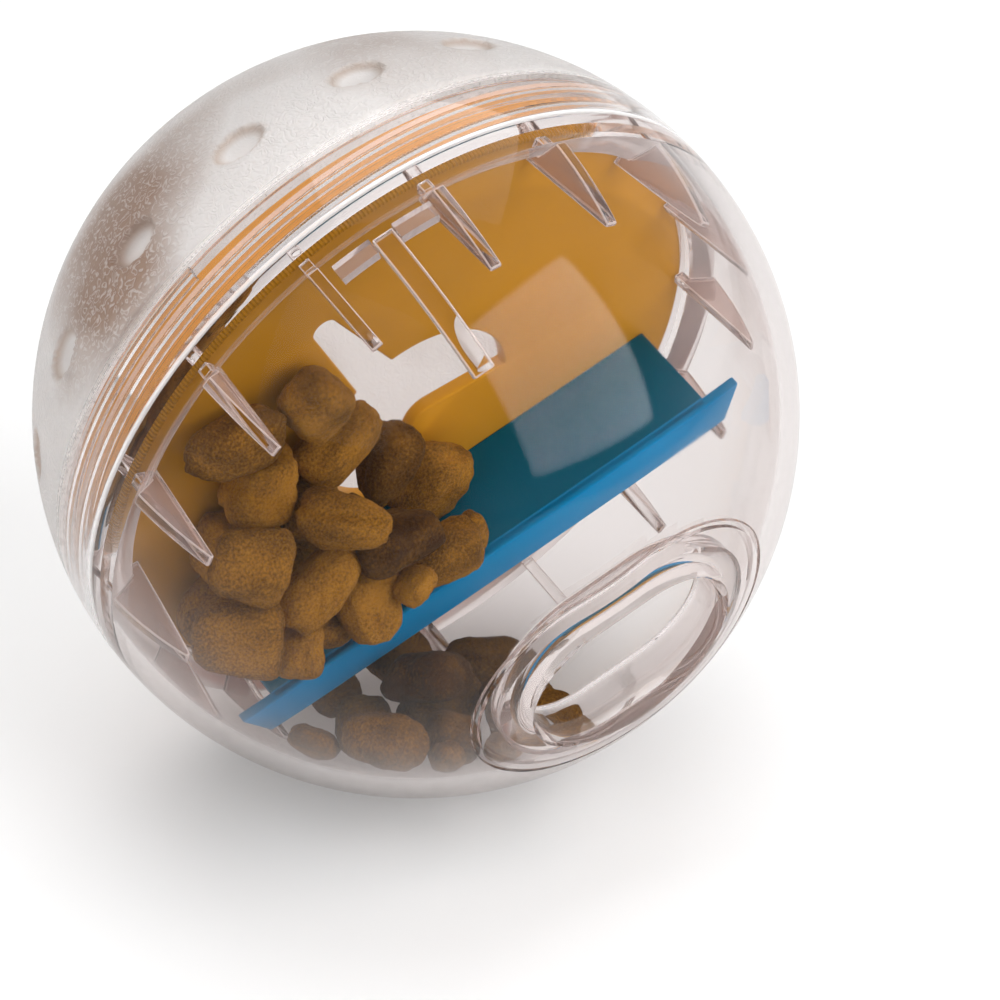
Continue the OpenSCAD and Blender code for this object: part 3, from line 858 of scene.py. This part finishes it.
# painted shade: brown patches gather towards the left shoulder of the store, and less in the dents
painted_shade_spot = add_node(nodes, "VectorMath", {1: (-0.036, 0.015, 0.029)}, operation="DISTANCE")
shade_falloff = add_node(
    nodes, "MapRange", {"From Min": 4 * mm, "From Max": 25 * mm, "To Min": -0.2, "To Max": 0.12},
    interpolation_type="SMOOTHSTEP")
painted_shade = add_node(nodes, "Math", operation="ADD")
links.new(where.outputs["Object"], painted_shade_spot.inputs[0])
links.new(painted_shade_spot.outputs["Value"], shade_falloff.inputs["Value"])
links.new(shade_falloff.outputs["Result"], painted_shade.inputs[0])
links.new(shade_drift.outputs["Fac"], painted_shade.inputs[1])
# painted light: the middles of the dents are painted paler
dent_painted_light = add_node(nodes, "Math", {1: 0.3}, operation="MULTIPLY_ADD")
links.new(dent_read.outputs["Fac"], dent_painted_light.inputs[0])
links.new(painted_shade.outputs["Value"], dent_painted_light.inputs[2])
links.new(dent_painted_light.outputs["Value"], tone.inputs["Fac"])
# painted highlight: the crests of the wrinkles are whitened
crest = add_node(nodes, "MapRange", {"From Min": 0.075, "From Max": 0.115, "To Max": 0.5})
painted_crest_highlight = add_node(nodes, "Mix", {"B": (*grain_white, 1)}, data_type="RGBA")
links.new(height.outputs["Value"], crest.inputs["Value"])
links.new(crest.outputs["Result"], painted_crest_highlight.inputs["Factor"])
links.new(tone.outputs["Color"], painted_crest_highlight.inputs["A"])
# painted shade: the slopes of the dents are darkened
dent_shade_tone = add_ramp(nodes, (0, (1, 1, 1)), (0.72, (1, 1, 1)), between=(0.34, (0.7, 0.6, 0.53)))
links.new(dent_read.outputs["Fac"], dent_shade_tone.inputs["Fac"])
dent_shaded = add_node(nodes, "Mix", {"Factor": 1}, data_type="RGBA", blend_type="MULTIPLY")
links.new(painted_crest_highlight.outputs["Result"], dent_shaded.inputs["A"])
links.new(dent_shade_tone.outputs["Color"], dent_shaded.inputs["B"])
# no painted shade or highlight over the thread, where the plastic is polished
even = add_node(nodes, "Mix", {"A": (0.985, 0.975, 0.975, 1)}, data_type="RGBA")
links.new(grain, even.inputs["Factor"])
links.new(dent_shaded.outputs["Result"], even.inputs["B"])
links.new(even.outputs["Result"], shader.inputs["Base Color"])
dull = add_node(nodes, "MapRange", {"To Min": 0.03, "To Max": 0.35})
links.new(grain, dull.inputs["Value"])
links.new(dull.outputs["Result"], shader.inputs["Roughness"])
passing = add_node(nodes, "Mix", {"A": free_light, "B": (0.78, 0.76, 0.75, 1)}, data_type="RGBA")
links.new(grain, passing.inputs["Factor"])
tint = add_node(nodes, "VolumeAbsorption", {"Color": rosy_tint, "Density": 15})
links.new(tint.outputs["Volume"], nodes["Material Output"].inputs["Volume"])
let_lamps_in(nodes, links, shader, passing)

grip_piece = make_piece(grip, "grip_shell_grained", "grip_shell", clear_grained)
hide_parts("grip_half")


# Floor, light and camera
# A plain white table under the ball, a broad lamp at the front right, a soft one overhead, a fill at the
# left, and the camera at the photograph's angle.
table = bmesh.new()
bmesh.ops.create_grid(table, x_segments=8, y_segments=8, size=3)
bmesh.ops.translate(table, verts=table.verts, vec=(0, 0, -ball_r))
mesh = bpy.data.meshes.new("table")
table.to_mesh(mesh)
table.free()
floor = bpy.data.objects.new("table", mesh)
bpy.context.scene.collection.objects.link(floor)
white, nodes, links, shader = start_finish("table_white")
shader.inputs["Base Color"].default_value = (0.92, 0.92, 0.92, 1)
shader.inputs["Roughness"].default_value = 0.9
shader.inputs["Specular IOR Level"].default_value = 0.0
# what is seen directly, in gloss or through plastic is lifted towards white
seen = add_node(nodes, "LightPath")
any_seen = add_node(nodes, "Math", operation="MAXIMUM")
or_through = add_node(nodes, "Math", operation="MAXIMUM")
links.new(seen.outputs["Is Camera Ray"], any_seen.inputs[0])
links.new(seen.outputs["Is Glossy Ray"], any_seen.inputs[1])
links.new(any_seen.outputs["Value"], or_through.inputs[0])
links.new(seen.outputs["Is Transmission Ray"], or_through.inputs[1])
share = add_node(nodes, "Math", {1: 0.15}, operation="MULTIPLY")
links.new(or_through.outputs["Value"], share.inputs[0])
glow = add_node(nodes, "Emission", {"Strength": 1})
lift = add_node(nodes, "MixShader")
links.new(share.outputs["Value"], lift.inputs["Fac"])
links.new(shader.outputs["BSDF"], lift.inputs[1])
links.new(glow.outputs["Emission"], lift.inputs[2])
# the table's glare on the ball is kept low
glare_cut = add_node(nodes, "Math", {1: 0.14}, operation="MULTIPLY")
links.new(seen.outputs["Is Glossy Ray"], glare_cut.inputs[0])
dark = add_node(nodes, "Emission", {"Strength": 0})
calm = add_node(nodes, "MixShader")
links.new(glare_cut.outputs["Value"], calm.inputs["Fac"])
links.new(lift.outputs["Shader"], calm.inputs[1])
links.new(dark.outputs["Emission"], calm.inputs[2])
links.new(calm.outputs["Shader"], nodes["Material Output"].inputs["Surface"])
mesh.materials.append(white)

world = bpy.data.worlds.new("studio")
bpy.context.scene.world = world
world.use_nodes = True
nodes, links = world.node_tree.nodes, world.node_tree.links
room = nodes["Background"]
room.inputs["Color"].default_value = (1, 1, 1, 1)
seen = add_node(nodes, "LightPath")
heading = add_node(nodes, "TexCoord")
split = add_node(nodes, "SeparateXYZ")
# gloss sees a dim ceiling, clear plastic a paler one
gloss_sees = add_node(nodes, "MapRange", {
    "From Min": -0.02, "From Max": 0.12, "To Min": 1.0, "To Max": 0.4})
# gloss also sees the front lamp, drawn as a bright patch
lamp_aim = Vector((0.263, -0.804, 0.535))
lamp_w, lamp_h, patch_soft, patch_shine = 0.8, 0.9, 0.03, 14
to_lamp = add_node(nodes, "VectorRotate", {
    "Rotation": (-lamp_aim).to_track_quat("-Z", "Y").to_euler()}, rotation_type="EULER_XYZ", invert=True)
in_lamp = add_node(nodes, "SeparateXYZ")
links.new(heading.outputs["Generated"], to_lamp.inputs["Vector"])
links.new(to_lamp.outputs["Vector"], in_lamp.inputs["Vector"])
edge_tests = []
for axis, half in (("X", lamp_w / 2), ("Y", lamp_h / 2)):
    slope = add_node(nodes, "Math", operation="DIVIDE")
    links.new(in_lamp.outputs[axis], slope.inputs[0])
    links.new(in_lamp.outputs["Z"], slope.inputs[1])
    size = add_node(nodes, "Math", operation="ABSOLUTE")
    links.new(slope.outputs["Value"], size.inputs[0])
    within = add_node(nodes, "MapRange", {
        "From Min": half + patch_soft, "From Max": half - patch_soft}, interpolation_type="SMOOTHSTEP")
    links.new(size.outputs["Value"], within.inputs["Value"])
    edge_tests.append(within.outputs["Result"])
ahead = add_node(nodes, "Math", {1: 0}, operation="GREATER_THAN")
links.new(in_lamp.outputs["Z"], ahead.inputs[0])
lamp_face = ahead.outputs["Value"]
for test in edge_tests:
    product = add_node(nodes, "Math", operation="MULTIPLY")
    links.new(lamp_face, product.inputs[0])
    links.new(test, product.inputs[1])
    lamp_face = product.outputs["Value"]
shine = add_node(nodes, "Math", {1: patch_shine}, operation="MULTIPLY_ADD")
links.new(lamp_face, shine.inputs[0])
links.new(gloss_sees.outputs["Result"], shine.inputs[2])
clear_sees = add_node(nodes, "MapRange", {
    "From Min": 0.08, "From Max": 0.35, "To Min": 1.0, "To Max": 0.65})
lit_or_gloss = add_node(nodes, "Mix", {"A": 0.3})
or_clear = add_node(nodes, "Mix")
or_camera = add_node(nodes, "Mix", {"B": 1.0})
links.new(heading.outputs["Generated"], split.inputs["Vector"])
links.new(split.outputs["Z"], gloss_sees.inputs["Value"])
links.new(split.outputs["Z"], clear_sees.inputs["Value"])
links.new(seen.outputs["Is Glossy Ray"], lit_or_gloss.inputs["Factor"])
links.new(shine.outputs["Value"], lit_or_gloss.inputs["B"])
links.new(seen.outputs["Is Transmission Ray"], or_clear.inputs["Factor"])
links.new(lit_or_gloss.outputs["Result"], or_clear.inputs["A"])
links.new(clear_sees.outputs["Result"], or_clear.inputs["B"])
links.new(seen.outputs["Is Camera Ray"], or_camera.inputs["Factor"])
links.new(or_clear.outputs["Result"], or_camera.inputs["A"])
links.new(or_camera.outputs["Result"], room.inputs["Strength"])


def softbox(name, direction, distance, width, height, power):
    """A square lamp that shines on the middle of the ball."""
    lamp = bpy.data.lights.new(name, "AREA")
    lamp.shape = "RECTANGLE"
    lamp.size, lamp.size_y = width, height
    lamp.energy = power
    holder = bpy.data.objects.new(name, lamp)
    bpy.context.scene.collection.objects.link(holder)
    holder.location = Vector(direction).normalized() * distance
    holder.rotation_euler = (-holder.location).to_track_quat("-Z", "Y").to_euler()
    return holder


for lamp in (
    softbox("front_right_lamp", lamp_aim, 1.0, lamp_w, lamp_h, 9),
    softbox("overhead_lamp", (0.2, 0.3, 0.93), 1.2, 1.0, 1.0, 9),
    softbox("left_fill_lamp", (-0.7, -0.3, 0.65), 1.2, 0.9, 0.9, 4),
):
    # the clear halves already let this light straight through
    lamp.visible_transmission = False
# its bright patch is already in the room
bpy.data.objects["front_right_lamp"].visible_glossy = False
paths = bpy.context.scene.cycles
paths.max_bounces = paths.transmission_bounces = paths.glossy_bounces = 64
paths.transparent_max_bounces = 32

view = bpy.data.cameras.new("camera")
view.sensor_width = 36
view.lens = 165.3
view.shift_x = 0.084
view.shift_y = -0.0855
view.clip_start = 0.01
eye = bpy.data.objects.new("camera", view)
bpy.context.scene.collection.objects.link(eye)
eye.location = Vector((-0.517, -0.695, 0.5)).normalized() * 0.6
eye.rotation_euler = (-eye.location).to_track_quat("-Z", "Y").to_euler()
bpy.context.scene.camera = eye
bpy.context.scene.view_settings.view_transform = "Standard"
